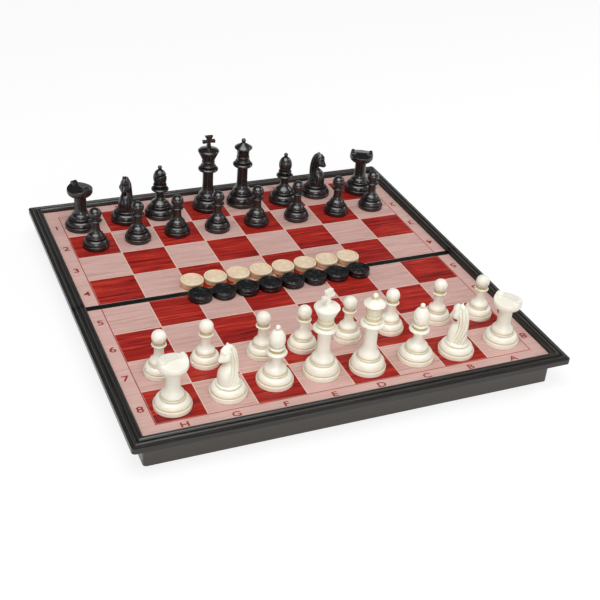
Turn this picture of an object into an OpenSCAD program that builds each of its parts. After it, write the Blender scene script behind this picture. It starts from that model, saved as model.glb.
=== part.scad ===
// A folding games box, opened flat: two moulded half boxes hinged along the middle, a steel-backed
// printed chequered board on each half, a lined hollow under each, and a set of magnetic men.
// Origin: bottom centre. X runs along the seam, the rear half lies on +Y, the boards face +Z.

/* [Board] */
// Side of one square of the printed board
square = 27; // [22:0.5:32]
// Width of the printed border outside the squares
border = 8.4; // [6:0.2:12]
// Gap between the two halves, open flat and also folded shut
seam_gap = 0.4; // [0.3:0.05:0.8]
// Width of the plain black lip beside the seam, which is also the seam wall's thickness
seam_lip = 1.95; // [1.6:0.05:2.6]
// Thickness of the printed sheet
print_t = 0.35; // [0.2:0.05:0.6]
// Thickness of the steel sheet under the print
steel_t = 0.5; // [0.3:0.1:0.8]
// Clearance round the sheets in their recess
sheet_fit = 0.1; // [0.05:0.05:0.3]

/* [Case] */
// Height of a half box, from its bottom edges to the top of the print
half_h = 17.4; // [16:0.2:24]
// Thickness of the outer walls
wall_t = 1.8; // [1.4:0.1:2.4]
// Thickness of the deck that carries the sheets
deck_t = 1.8; // [1.4:0.1:2.6]
// Width of the moulded rim round the three outer sides
rim_w = 8; // [7.4:0.2:11]
// Depth of the rim's underside below the top of the print
rim_h = 2; // [1.6:0.1:2.8]
// Rise of the rim's flat, on which its beads stand, over the print
rim_rise = 1.3; // [0.9:0.1:1.5]
// How far the outer walls stand back under the rim
rim_overhang = 7.4; // [5:0.2:9]
// Distance of the rim's inner bead from the sheets
bead_inset = 0.4; // [0.2:0.1:0.8]
// Radius of the rim's inner bead
bead_r = 1.7; // [1.2:0.1:1.8]
// Rise of the inner bead over the print
bead_rise = 2.8; // [2.2:0.1:3.2]
// Width of the groove between the two beads
bead_gap = 0.5; // [0.2:0.1:0.8]
// Drop of the rim's inner edge below the print
groove_drop = 0.25; // [0.1:0.05:0.4]
// Radius of the rim's outer bead
fine_bead_r = 0.9; // [0.6:0.1:1.1]
// Rise of the outer bead over the print
fine_bead_rise = 2.2; // [1.9:0.1:2.4]
// Drop of the rim's sloping shoulder at its outer edge
shoulder_drop = 0.3; // [0.1:0.1:0.8]
// Radius of the case's upright corners
corner_r = 2; // [1:0.25:3]
// Thickness of the printed lining inside each half
lining_t = 0.35; // [0.2:0.05:0.6]
// Clearance round the lining
lining_fit = 0.3; // [0.2:0.1:0.6]

/* [Hinge] */
// Radius of the rounded seam edge, and height of the hinge pins over the bottom edges
edge_r = 3; // [2.6:0.1:3.6]
// Radius of a link's barrels
barrel_r = 2.3; // [2:0.1:2.4]
// Radius of the steel hinge pins
pin_r = 1; // [0.8:0.1:1.2]
// Running clearance of the pins in the ears
pin_play = 0.05; // [0.03:0.01:0.1]
// Width of a hinge link
link_w = 12; // [8:0.5:18]
// Thickness of a link's web
web_t = 2.4; // [1.6:0.2:3]
// Clearance at each side of a link
link_play = 0.3; // [0.2:0.05:0.6]
// Width of a hinge ear
ear_w = 4; // [3:0.5:6]
// Distance of each hinge link from the middle
hinge_x = 84; // [60:1:90]

/* [Closing magnets] */
// Diameter of a closing magnet
keeper_d = 8; // [6:0.5:10]
// Thickness of a closing magnet
keeper_t = 2.5; // [1.5:0.5:4]
// Wall of the socket round a closing magnet
keeper_wall = 1.4; // [1:0.1:2]
// How deep a closing magnet lies behind the bottom edge
keeper_sink = 0.2; // [0.1:0.05:0.4]
// Distance of each closing magnet from the middle
keeper_x = 80; // [60:1:90]

/* [Chessmen] */
// Base diameter of a piece of the back rank
piece_d = 19.9; // [17:0.1:21]
// Base diameter of a pawn
pawn_d = 16.4; // [14:0.1:18]
// Height of a pawn
pawn_h = 26.6; // [24:0.1:30]
// Height of a rook
rook_h = 29.8; // [28:0.1:34]
// Height of a knight
knight_h = 31; // [29:0.1:34]
// Height of a bishop
bishop_h = 35.2; // [33:0.1:40]
// Height of a queen
queen_h = 47.1; // [43:0.1:50]
// Height of a king, over the cross
king_h = 51.6; // [48:0.1:56]
// Height of the plinth of a base
plinth_h = 2.9; // [2.4:0.1:3.4]
// Height of the dome over the plinth
dome_h = 3.3; // [2.6:0.1:4]
// Height of the dome of a king or queen
royal_dome_h = 4.6; // [3.6:0.1:5.4]
// Height of the ring over the dome
ring_h = 1.4; // [1:0.1:1.8]
// Clearance round a magnet in its pocket
magnet_fit = 0.1; // [0.05:0.05:0.2]
// Thickness of a chessman's magnet
magnet_t = 2; // [1:0.5:3]
// Diameter of a chessman's magnet
magnet_d = 9; // [6:0.5:10]

/* [Draughts] */
// Diameter of a draught
draught_d = 13.9; // [12:0.1:14.2]
// Thickness of a draught
draught_t = 4.1; // [2.8:0.1:4.6]
// Distance between neighbouring draughts in a row
draught_pitch = 14.46; // [14.4:0.02:16]
// Width of a draught's raised edge
draught_edge = 1.1; // [0.8:0.1:1.6]
// Radius of a draught's rounded edges
draught_round = 0.5; // [0.2:0.1:0.6]
// Depth of the dished face inside the raised edge
draught_dish = 0.45; // [0.2:0.05:0.7]
// Thickness of a draught's magnet
draught_magnet_t = 1.2; // [0.8:0.1:1.4]
// Middle of the two rows of draughts along the seam
draught_mid_x = -0.8; // [-6:0.2:6]
// Distance of the cream row's centres behind the seam
cream_row_y = 8.4; // [7.4:0.1:10]
// Distance of the black row's centres in front of the seam
black_row_y = 7.4; // [7.2:0.1:10]

/* [Hidden] */
round_fn = 64;
over = 1;

columns = ["h", "g", "f", "e", "d", "c", "b", "a"];
rank = ["rook", "knight", "bishop", "king", "queen", "bishop", "knight", "rook"];
n_draughts = 8;
n_columns = len(columns);

// Where each man stands off the middle of its square, by column, in millimetres
black_back_off = [[-2.5, -1.5], [0.5, 0.5], [-4, 1], [2, 2.5], [-1, 2.5], [1, -1.5], [-1, 2.5], [4, -0.5]];
black_pawn_off = [[0.5, -1.5], [0.5, 0], [-0.5, 1.5], [-1, 0], [-1, 0.5], [0, 0], [2, 0], [1, 1]];
white_pawn_off = [[0, 0], [-1, 2], [3.5, 0.5], [0, 0], [0.5, 1], [0, 1.5], [4, 3], [3, 0]];
white_back_off = [[-1.5, -2], [1.4, -0.5], [1, 2], [0.5, 2], [-1, -1.5], [1.5, -1], [-1.1, -2.5], [2, -0.5]];
// The way each piece of a back rank faces, by column, in degrees from +X
turn_black = [292, 255, 285, 0, 0, 60, 320, 333];
turn_white = [13, 190, 100, 25, 0, 120, 130, 299];

// Heights over the bottom edges
board_z = half_h;
deck_top = board_z - print_t - steel_t;
deck_z = deck_top - deck_t;
rim_z = board_z - rim_h;

// Distances from the middle
seam_y = seam_gap / 2;
sheet_x = 4 * square + border;
sheet_y0 = seam_y + seam_lip;
sheet_y1 = sheet_y0 + 4 * square + border;
rim_x = sheet_x + rim_w;
rim_y = sheet_y1 + rim_w;
tub_x = rim_x - rim_overhang;
tub_y = rim_y - rim_overhang;

// Hinge places
pivot_y = seam_y + edge_r;
pivot_z = edge_r;
notch_w = link_w + 2 * link_play;
pin_len = notch_w + 2 * ear_w;

// Closing magnet places
keeper_r = keeper_d / 2;
socket_r = keeper_r + keeper_wall;
socket_h = keeper_sink + keeper_t + keeper_wall;
keeper_y = tub_y - wall_t - keeper_r - keeper_wall / 2;

function arc(cx, cz, rx, rz, a0, a1, n) =
    [for (i = [0:n]) let (a = a0 + (a1 - a0) * i / n) [cx + rx * cos(a), cz + rz * sin(a)]];

// A hollow curve from a wide foot at z0 to a neck at z1; a higher power turns upright sooner
function flare(r0, z0, r1, z1, power, n) =
    [for (i = [1:n]) let (t = i / n) [r1 + (r0 - r1) * pow(1 - t, power), z0 + (z1 - z0) * t]];

// A full round from the lower edge at z0 to the upper edge at z1, r0 at the edges, r1 at the middle
function bulge(r0, r1, z0, z1, n) =
    arc(r0, (z0 + z1) / 2, r1 - r0, (z1 - z0) / 2, -90, 90, n);

function square_x(c) = (c - (n_columns - 1) / 2) * square;
function square_y(row) = row <= 4 ? sheet_y0 + (4.5 - row) * square : -(sheet_y0 + (row - 4.5) * square);

// Men of the two sides: name, kind, side, place, turn
function back_rank(side, row, offsets, turn) = [for (c = [0:n_columns - 1])
    [str(side, "_", rank[c], "_", columns[c]), rank[c], side,
     [square_x(c) + offsets[c][0], square_y(row) + offsets[c][1]], turn[c]]];
function pawn_rank(side, row, offsets) = [for (c = [0:n_columns - 1])
    [str(side, "_pawn_", columns[c]), "pawn", side,
     [square_x(c) + offsets[c][0], square_y(row) + offsets[c][1]], 0]];
function draught_row(side, y) = [for (i = [0:n_draughts - 1])
    [str(side, "_draught_", i + 1), "draught", side,
     [draught_mid_x + (i - (n_draughts - 1) / 2) * draught_pitch, y], 0]];

MEN = concat(back_rank("black", 1, black_back_off, turn_black),
             pawn_rank("black", 2, black_pawn_off),
             pawn_rank("white", 7, white_pawn_off),
             back_rank("white", 8, white_back_off, turn_white),
             draught_row("cream", cream_row_y),
             draught_row("black", -black_row_y));

CASE = ["rear_shell", "front_shell", "rear_steel_sheet", "front_steel_sheet",
        "rear_board_print", "front_board_print", "rear_inner_lining", "front_inner_lining",
        "hinge_links", "hinge_pins", "rear_closing_magnets", "front_closing_magnets"];

// The rim's section: x is the distance outwards from the sheets, y the height over the print
module rim_section() {
    bead_x = bead_inset + bead_r;
    fine_x = bead_x + bead_r + bead_gap + fine_bead_r;
    polygon([[0, -rim_h], [rim_w, -rim_h], [rim_w, rim_rise - shoulder_drop],
             [fine_x + fine_bead_r, rim_rise], [bead_x, rim_rise], [bead_inset, bead_rise - bead_r],
             [bead_inset, -groove_drop], [0, -groove_drop]]);
    translate([bead_x, bead_rise - bead_r]) circle(r = bead_r, $fn = round_fn);
    translate([fine_x, fine_bead_rise - fine_bead_r]) circle(r = fine_bead_r, $fn = round_fn);
}

// A plate outline open to the seam side, with its two outer corners rounded
module half_outline(x, y0, y1, r) {
    translate([-x, y0]) square([2 * x, y1 - r - y0]);
    translate([-x + r, y0]) square([2 * (x - r), y1 - y0]);
    for (s = [-1, 1]) translate([s * (x - r), y1 - r]) circle(r = r, $fn = round_fn);
}

module side_rim() {
    intersection() {
        translate([sheet_x, seam_y, board_z]) rotate([90, 0, 0]) mirror([0, 0, 1])
            linear_extrude(rim_y - seam_y) rim_section();
        linear_extrude(2 * board_z)
            polygon([[sheet_x, seam_y], [rim_x, seam_y], [rim_x, rim_y], [sheet_x, sheet_y1]]);
    }
}

module end_rim() {
    intersection() {
        translate([-rim_x, sheet_y1, board_z]) rotate([90, 0, 90]) linear_extrude(2 * rim_x) rim_section();
        linear_extrude(2 * board_z)
            polygon([[-rim_x, rim_y], [-sheet_x, sheet_y1], [sheet_x, sheet_y1], [rim_x, rim_y]]);
    }
}

module rim() {
    intersection() {
        union() {
            side_rim();
            mirror([1, 0, 0]) side_rim();
            end_rim();
        }
        linear_extrude(2 * board_z) half_outline(rim_x, seam_y, rim_y, corner_r);
    }
}

// The case walls and the deck under the sheets
module tub() {
    difference() {
        linear_extrude(board_z) half_outline(tub_x, seam_y, tub_y, corner_r);
        translate([0, 0, -over]) linear_extrude(deck_z + over)
            half_outline(tub_x - wall_t, sheet_y0, tub_y - wall_t, corner_r / 2);
        translate([-sheet_x, sheet_y0, deck_top]) cube([2 * sheet_x, sheet_y1 - sheet_y0, half_h]);
        outside_recess();
    }
}

// Takes the wall tops away where the rim's own section stands
module outside_recess() {
    difference() {
        translate([-rim_x, seam_y - over, rim_z]) cube([2 * rim_x, rim_y + over, half_h]);
        translate([-sheet_x, seam_y - 2 * over, 0])
            cube([2 * sheet_x, sheet_y1 - seam_y + 2 * over, 2 * half_h]);
    }
}

// Two ears beside each link, joined to the seam wall
module ears() {
    for (s = [-1, 1], e = [-1, 1])
        translate([s * hinge_x + e * (notch_w + ear_w) / 2, 0, 0]) rotate([90, 0, 90])
            linear_extrude(ear_w, center = true) {
                translate([pivot_y, pivot_z]) circle(r = edge_r, $fn = round_fn);
                translate([seam_y, 0]) square([edge_r, 2 * edge_r]);
            }
}

// What is cut from the seam edge: its rounding, the notches for the links and the pin bores
module seam_cuts() {
    rotate([90, 0, 90]) linear_extrude(4 * rim_x, center = true) difference() {
        translate([seam_y - over, -over]) square([edge_r + over, edge_r + over]);
        translate([pivot_y, pivot_z]) circle(r = edge_r, $fn = round_fn);
    }
    for (s = [-1, 1]) translate([s * hinge_x, 0, 0]) {
        translate([-notch_w / 2, seam_y - over, -over])
            cube([notch_w, 2 * edge_r + over, 2 * edge_r + over]);
        translate([0, pivot_y, pivot_z]) rotate([0, 90, 0])
            cylinder(h = pin_len + 2 * over, r = pin_r + pin_play, center = true, $fn = round_fn);
    }
}

// Sockets for the closing magnets, against the outer wall
module sockets() {
    for (s = [-1, 1]) translate([s * keeper_x, keeper_y, 0]) {
        cylinder(h = socket_h, r = socket_r, $fn = round_fn);
        translate([-socket_r, 0, 0]) cube([2 * socket_r, tub_y - wall_t / 2 - keeper_y, socket_h]);
    }
}

module half_shell() {
    difference() {
        union() {
            rim();
            tub();
            ears();
            sockets();
        }
        seam_cuts();
        for (s = [-1, 1]) translate([s * keeper_x, keeper_y, -over])
            cylinder(h = over + keeper_sink + keeper_t, r = keeper_r, $fn = round_fn);
    }
}

module half_steel_sheet() {
    translate([-sheet_x + sheet_fit, sheet_y0 + sheet_fit, deck_top])
        cube([2 * (sheet_x - sheet_fit), sheet_y1 - sheet_y0 - 2 * sheet_fit, steel_t]);
}

module half_board_print() {
    translate([-sheet_x + sheet_fit, sheet_y0 + sheet_fit, deck_top + steel_t])
        cube([2 * (sheet_x - sheet_fit), sheet_y1 - sheet_y0 - 2 * sheet_fit, print_t]);
}

module half_inner_lining() {
    x = tub_x - wall_t - lining_fit;
    y0 = sheet_y0 + lining_fit;
    y1 = tub_y - wall_t - lining_fit;
    translate([-x, y0, deck_z - lining_t]) cube([2 * x, y1 - y0, lining_t]);
}

module half_closing_magnets() {
    for (s = [-1, 1]) translate([s * keeper_x, keeper_y, keeper_sink])
        cylinder(h = keeper_t, r = keeper_r, $fn = round_fn);
}

module rear_shell() { color([0.11, 0.11, 0.12]) half_shell(); }
module front_shell() { color([0.11, 0.11, 0.12]) mirror([0, 1, 0]) half_shell(); }
module rear_steel_sheet() { color("silver") half_steel_sheet(); }
module front_steel_sheet() { color("silver") mirror([0, 1, 0]) half_steel_sheet(); }
module rear_board_print() { color([0.72, 0.17, 0.13]) half_board_print(); }
module front_board_print() { color([0.72, 0.17, 0.13]) mirror([0, 1, 0]) half_board_print(); }
module rear_inner_lining() { color([0.84, 0.67, 0.63]) half_inner_lining(); }
module front_inner_lining() { color([0.84, 0.67, 0.63]) mirror([0, 1, 0]) half_inner_lining(); }
module rear_closing_magnets() { color("gray") half_closing_magnets(); }
module front_closing_magnets() { color("gray") mirror([0, 1, 0]) half_closing_magnets(); }

// A link has a barrel on each half's pin and a web between them
module hinge_links() {
    color([0.13, 0.13, 0.14]) for (s = [-1, 1]) translate([s * hinge_x, 0, pivot_z]) difference() {
        union() {
            for (k = [-1, 1]) translate([0, k * pivot_y, 0]) rotate([0, 90, 0])
                cylinder(h = link_w, r = barrel_r, center = true, $fn = round_fn);
            cube([link_w, 2 * pivot_y, web_t], center = true);
        }
        for (k = [-1, 1]) translate([0, k * pivot_y, 0]) rotate([0, 90, 0])
            cylinder(h = link_w + 2 * over, r = pin_r, center = true, $fn = round_fn);
    }
}

module hinge_pins() {
    color("silver") for (s = [-1, 1], k = [-1, 1])
        translate([s * hinge_x, k * pivot_y, pivot_z]) rotate([0, 90, 0])
            cylinder(h = pin_len, r = pin_r, center = true, $fn = round_fn);
}

// In the outlines below r is the radius of a base and h the height of a man. Heads hang from the top
// and are sized by the base, so a taller man gets a longer stem and a wider one a stouter head.

// The turned base that every chessman shares: plinth, dome and ring
function base_line(r, dome) = concat(
    arc(0.95 * r, 0.05 * r, 0.05 * r, 0.05 * r, -90, 0, 3),
    arc(0.95 * r, plinth_h - 0.05 * r, 0.05 * r, 0.05 * r, 0, 75, 3),
    [[0.92 * r, plinth_h]],
    arc(0.68 * r, plinth_h, 0.25 * r, dome, 5, 85, 7),
    [[0.63 * r, plinth_h + dome]],
    arc(0.61 * r, plinth_h + dome + 0.57 * ring_h, 0.07 * r, 0.57 * ring_h, -90, 49, 6));

function foot_z(dome) = plinth_h + dome + ring_h;

// A foot and the stem on it, which narrows to the given neck
function stem_line(r, dome, neck_r, neck_z, power) = concat(base_line(r, dome),
    flare(0.65 * r, foot_z(dome), neck_r, neck_z, power, 8));

function pawn_line(r, h) = let (ball = 0.48 * r, top = h - 2 * ball) concat(
    stem_line(r, dome_h, 0.32 * r, top - 0.17 * r, 2.4),
    bulge(0.37 * r, 0.49 * r, top - 0.15 * r, top, 6),
    arc(0, h - ball, ball, ball, -50, 90, 12));

function bishop_line(r, h) = concat(
    stem_line(r, dome_h, 0.27 * r, h - 1.79 * r, 1.7),
    bulge(0.36 * r, 0.57 * r, h - 1.76 * r, h - 1.53 * r, 6),
    bulge(0.4 * r, 0.44 * r, h - 1.4 * r, h - 1.28 * r, 4),
    arc(0, h - 0.86 * r, 0.44 * r, 0.6 * r, -40, 72, 10),
    arc(0, h - 0.12 * r, 0.12 * r, 0.12 * r, -60, 90, 6));

function rook_line(r, h) = concat(
    stem_line(r, dome_h, 0.38 * r, h - 0.86 * r, 2.4),
    arc(0.38 * r, h - 0.5 * r, 0.44 * r, 0.32 * r, -85, 0, 8),
    [[0.81 * r, h - 0.36 * r], [0.77 * r, h - 0.14 * r], [0.72 * r, h]]);

// The collar of a king or queen from z up: a disc, a ledge, a hollow and a thin ring
function collar_line(r, z) = concat(
    bulge(0.42 * r, 0.66 * r, z, z + 0.28 * r, 7),
    bulge(0.42 * r, 0.5 * r, z + 0.29 * r, z + 0.45 * r, 5),
    [[0.39 * r, z + 0.5 * r], [0.39 * r, z + 0.56 * r]],
    bulge(0.4 * r, 0.43 * r, z + 0.58 * r, z + 0.74 * r, 4));

function king_line(r, h) = concat(
    stem_line(r, royal_dome_h, 0.36 * r, h - 2.5 * r, 5),
    collar_line(r, h - 2.47 * r),
    [[0.41 * r, h - 1.68 * r], [0.69 * r, h - 1.08 * r], [0.69 * r, h - 1.04 * r], [0.65 * r, h - 0.99 * r],
     [0.45 * r, h - 0.93 * r], [0.25 * r, h - 0.88 * r], [0.14 * r, h - 0.82 * r]]);

function queen_line(r, h) = concat(
    stem_line(r, royal_dome_h, 0.36 * r, h - 2.01 * r, 5),
    collar_line(r, h - 1.98 * r),
    [[0.4 * r, h - 1.2 * r], [0.41 * r, h - 0.92 * r], [0.45 * r, h - 0.8 * r], [0.59 * r, h - 0.66 * r],
     [0.59 * r, h - 0.62 * r], [0.55 * r, h - 0.57 * r], [0.27 * r, h - 0.4 * r], [0.13 * r, h - 0.3 * r]],
    arc(0, h - 0.15 * r, 0.15 * r, 0.15 * r, -35, 90, 7));

function knight_line(r) = concat(base_line(r, dome_h), [[0.62 * r, foot_z(dome_h)]]);

function man_line(kind) =
    kind == "pawn" ? pawn_line(pawn_d / 2, pawn_h) :
    kind == "rook" ? rook_line(piece_d / 2, rook_h) :
    kind == "bishop" ? bishop_line(piece_d / 2, bishop_h) :
    kind == "queen" ? queen_line(piece_d / 2, queen_h) :
    kind == "king" ? king_line(piece_d / 2, king_h) : knight_line(piece_d / 2);

// A line turned round the upright axis
module turned(line) {
    rotate_extrude($fn = round_fn) polygon(concat([[0, line[0][1]]], line, [[0, line[len(line) - 1][1]]]));
}

// The cross of a king: a flared bar with two flared arms
module cross(r, h) {
    foot = h - 0.9 * r;
    mid = h - 0.4 * r;
    rotate([90, 0, 0]) linear_extrude(0.22 * r, center = true) {
        polygon([[-0.17 * r, foot], [0.17 * r, foot], [0.08 * r, mid], [0.27 * r, h], [-0.27 * r, h],
                 [-0.08 * r, mid]]);
        for (s = [-1, 1]) polygon([[0, mid - 0.06 * r], [s * 0.42 * r, mid - 0.11 * r],
                                   [s * 0.42 * r, mid + 0.11 * r], [0, mid + 0.06 * r]]);
    }
}

// What is cut from the top of a rook's cup: both sides fall away from a ridge between two horns
module crown_cut(r, h) {
    ridge = h - 0.2 * r;
    eave = h - 0.36 * r;
    difference() {
        rotate([90, 0, 90]) linear_extrude(3 * r, center = true)
            polygon([[-r, eave], [0, ridge], [r, eave], [r, h + over], [-r, h + over]]);
        for (s = [-1, 1]) rotate([90, 0, 0]) linear_extrude(0.4 * r, center = true)
            polygon([[s * 0.36 * r, h - r], [s * 0.36 * r, ridge - 0.02 * r], [s * 0.48 * r, h - 0.05 * r],
                     [s * 0.56 * r, h], [s * 0.68 * r, h], [s * r, h - 0.1 * r], [s * r, h - r]]);
    }
}

// The slit across a bishop's mitre
module slit(r, h) {
    translate([0.26 * r, 0, h - 0.66 * r]) rotate([0, -38, 0])
        cube([0.6 * r, 1.2 * r, 0.09 * r], center = true);
}

// A horse's neck and head, as its side outline met by its front outline
module horse(r, h) {
    foot = foot_z(dome_h) - 0.05 * r;
    neck = h - foot;
    side = [[0.56, 0], [0.6, 0.1], [0.6, 0.18], [0.58, 0.27], [0.52, 0.36], [0.4, 0.44], [0.26, 0.49],
            [0.16, 0.52], [0.17, 0.56], [0.27, 0.577], [0.42, 0.572], [0.55, 0.577], [0.63, 0.605],
            [0.66, 0.64], [0.6, 0.7], [0.53, 0.775], [0.51, 0.875], [0.42, 0.93], [0.29, 0.97], [0.17, 0.975],
            [0.04, 1], [-0.06, 0.965], [-0.13, 0.95], [-0.24, 0.9], [-0.36, 0.8], [-0.45, 0.64],
            [-0.48, 0.45], [-0.48, 0.25], [-0.52, 0.09], [-0.57, 0]];
    half_front = [[0.5, 0], [0.45, 0.2], [0.36, 0.42], [0.33, 0.6], [0.31, 0.75], [0.25, 0.88], [0.16, 0.96],
                  [0.12, 1]];
    intersection() {
        rotate([90, 0, 0]) linear_extrude(2 * r, center = true)
            polygon([for (p = side) [p[0] * r, foot + p[1] * neck]]);
        rotate([90, 0, 90]) linear_extrude(2 * r, center = true)
            polygon(concat([for (p = half_front) [p[0] * r, foot + p[1] * neck]],
                           [for (i = [len(half_front) - 1:-1:0])
                               [-half_front[i][0] * r, foot + half_front[i][1] * neck]]));
    }
}

// The pocket for a magnet in the underside, and the magnet in it
module magnet_pocket(d, t) {
    translate([0, 0, -over]) cylinder(h = t + magnet_fit + over, r = d / 2 + magnet_fit, $fn = round_fn);
}

module magnet(d, t) {
    cylinder(h = t, r = d / 2, $fn = round_fn);
}

module chessman(kind) {
    difference() {
        union() {
            turned(man_line(kind));
            if (kind == "king") cross(piece_d / 2, king_h);
            if (kind == "knight") horse(piece_d / 2, knight_h);
        }
        if (kind == "rook") crown_cut(piece_d / 2, rook_h);
        if (kind == "bishop") slit(piece_d / 2, bishop_h);
        magnet_pocket(magnet_d, magnet_t);
    }
    magnet(magnet_d, magnet_t);
}

module draught() {
    r = draught_d / 2;
    inner_r = r - draught_edge;
    e = draught_round;
    difference() {
        rotate_extrude($fn = round_fn)
            polygon(concat([[0, 0]], arc(r - e, e, e, e, -90, 0, 3),
                           arc(r - e, draught_t - e, e, e, 0, 90, 3),
                           [[inner_r + draught_dish / 2, draught_t], [inner_r, draught_t - draught_dish],
                            [0, draught_t - draught_dish]]));
        magnet_pocket(magnet_d, draught_magnet_t);
    }
    magnet(magnet_d, draught_magnet_t);
}

module man(m) {
    shade = m[2] == "black" ? [0.09, 0.08, 0.08] : m[2] == "white" ? [0.93, 0.91, 0.85] : [0.93, 0.83, 0.66];
    color(shade) translate([m[3][0], m[3][1], board_z]) rotate([0, 0, m[4]])
        if (m[1] == "draught") draught(); else chessman(m[1]);
}

rear_shell();
front_shell();
rear_steel_sheet();
front_steel_sheet();
rear_board_print();
front_board_print();
rear_inner_lining();
front_inner_lining();
hinge_links();
hinge_pins();
rear_closing_magnets();
front_closing_magnets();
for (m = MEN) man(m);
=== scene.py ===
"""Looks of a folding games box: materials, turned and carved men, printed board and studio.

Shapes are in millimetres until they are scaled to metres; camera, lamps and floor are in metres.
"""
from collections import Counter
from math import atan2, cos, hypot, pi, radians, sin, sqrt

import bmesh
import bpy
from mathutils import Matrix, Vector
from mathutils.geometry import delaunay_2d_cdt


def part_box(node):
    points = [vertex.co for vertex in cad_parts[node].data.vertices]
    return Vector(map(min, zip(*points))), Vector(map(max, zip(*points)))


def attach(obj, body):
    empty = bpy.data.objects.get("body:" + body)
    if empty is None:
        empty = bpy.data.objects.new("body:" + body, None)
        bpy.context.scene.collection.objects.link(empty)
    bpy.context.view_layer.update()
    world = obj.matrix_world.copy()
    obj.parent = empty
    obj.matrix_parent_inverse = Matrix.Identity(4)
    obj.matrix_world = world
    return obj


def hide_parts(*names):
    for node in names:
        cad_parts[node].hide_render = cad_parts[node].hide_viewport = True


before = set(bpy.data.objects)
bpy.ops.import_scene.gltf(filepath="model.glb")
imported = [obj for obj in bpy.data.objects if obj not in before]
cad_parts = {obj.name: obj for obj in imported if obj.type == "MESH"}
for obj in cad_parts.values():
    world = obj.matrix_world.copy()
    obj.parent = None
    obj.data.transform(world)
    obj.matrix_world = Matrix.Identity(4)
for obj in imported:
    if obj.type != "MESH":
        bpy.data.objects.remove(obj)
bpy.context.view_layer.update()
MM = 0.001
TINY = 1e-6


def placed(name, data):
    """A new object in the scene."""
    thing = bpy.data.objects.new(name, data)
    bpy.context.scene.collection.objects.link(thing)
    return thing


# ---------------------------------------------------------------- camera, solved from the photo
CAMERA_PLACE = (-0.22552, -0.51570, 0.35923)
CAMERA_RIGHT = Vector((0.920984, -0.383721, 0.067425))
CAMERA_DOWN = Vector((-0.153275, -0.515970, -0.842782))
CAMERA_AHEAD = Vector((0.358183, 0.765854, -0.534015))
SENSOR_MM, LENS_MM = 36, 65.71

camera_data = bpy.data.cameras.new("photo_camera")
camera_data.sensor_width = SENSOR_MM
camera_data.lens = LENS_MM
camera = placed("photo_camera", camera_data)
axes = Matrix((CAMERA_RIGHT, -CAMERA_DOWN, -CAMERA_AHEAD)).transposed()
camera.matrix_world = Matrix.Translation(CAMERA_PLACE) @ axes.to_4x4()
bpy.context.scene.camera = camera
bpy.context.scene.view_settings.view_transform = "Standard"


# ---------------------------------------------------------------- node helpers
def srgb(r, g, b):
    """A colour written in 0 to 255 screen values, as linear RGBA."""
    def lin(c):
        c /= 255
        return c / 12.92 if c <= 0.04045 else ((c + 0.055) / 1.055) ** 2.4
    return (lin(r), lin(g), lin(b), 1)


def grey(value):
    return (value, value, value, 1)


class Nodes:
    """A material's node tree, with short calls for the nodes used here."""

    def __init__(self, name):
        self.material = bpy.data.materials.new(name)
        self.material.use_nodes = True
        self.tree = self.material.node_tree
        self.tree.nodes.clear()
        self.out = self.tree.nodes.new("ShaderNodeOutputMaterial")

    def node(self, kind, inputs=(), **settings):
        n = self.tree.nodes.new(kind)
        for key, value in settings.items():
            setattr(n, key, value)
        for key, value in dict(inputs).items():
            if isinstance(value, bpy.types.NodeSocket):
                self.tree.links.new(value, n.inputs[key])
            else:
                n.inputs[key].default_value = value
        return n

    def math(self, operation, a, b=None):
        inputs = {i: v for i, v in enumerate((a, b)) if v is not None}
        return self.node("ShaderNodeMath", inputs, operation=operation).outputs[0]

    def absolute(self, a):
        return self.math("ABSOLUTE", a)

    def add(self, a, b):
        return self.math("ADD", a, b)

    def minus(self, a, b):
        return self.math("SUBTRACT", a, b)

    def times(self, a, b):
        return self.math("MULTIPLY", a, b)

    def mix(self, factor, a, b):
        return self.node("ShaderNodeMix", {0: factor, 6: a, 7: b}, data_type="RGBA").outputs[2]

    def ramp(self, value, low, high, a=0.0, b=1.0):
        return self.node("ShaderNodeMapRange", {0: value, 1: low, 2: high, 3: a, 4: b}).outputs[0]

    def colours(self, value, stops):
        n = self.node("ShaderNodeValToRGB", {0: value})
        while len(n.color_ramp.elements) < len(stops):
            n.color_ramp.elements.new(0.5)
        for element, (place, colour) in zip(n.color_ramp.elements, stops):
            element.position = place
            element.color = colour
        return n.outputs[0]

    def place_mm(self):
        """The point on the object in millimetres, at rest."""
        point = self.node("ShaderNodeTexCoord").outputs["Object"]
        n = self.node("ShaderNodeVectorMath", {0: point, 3: 1 / MM}, operation="SCALE")
        return n.outputs[0]

    def split(self, point):
        return self.node("ShaderNodeSeparateXYZ", {0: point}).outputs

    def scaled(self, point, scale):
        n = self.node("ShaderNodeVectorMath", {0: point, 1: scale}, operation="MULTIPLY")
        return n.outputs[0]

    def noise(self, point, scale, detail=3.0, rough=0.5, distortion=0.0):
        n = self.node("ShaderNodeTexNoise", {"Vector": point, "Scale": scale, "Detail": detail,
                                             "Roughness": rough, "Distortion": distortion})
        return n.outputs[0]

    def bump(self, height, strength, distance):
        n = self.node("ShaderNodeBump", {"Height": height, "Strength": strength,
                                         "Distance": distance})
        return n.outputs[0]

    def finish(self, colour, rough, normal=None, **sockets):
        inputs = {"Base Color": colour, "Roughness": rough}
        if normal is not None:
            inputs["Normal"] = normal
        for key, value in sockets.items():
            inputs[key.replace("_", " ")] = value
        shader = self.node("ShaderNodeBsdfPrincipled", inputs)
        self.tree.links.new(shader.outputs[0], self.out.inputs[0])
        return self.material


# ---------------------------------------------------------------- measures shared with the CAD
SQUARE = 27.0
FILES_HALF = 4.0        # squares from the middle of the board to its edge
SHEET_X = 116.4         # half the width of the printed sheets
SHEET_Y0 = 2.15         # from the middle of the seam to a printed sheet
RIM_UNDER = 15.3        # height of the rim's underside

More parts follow.
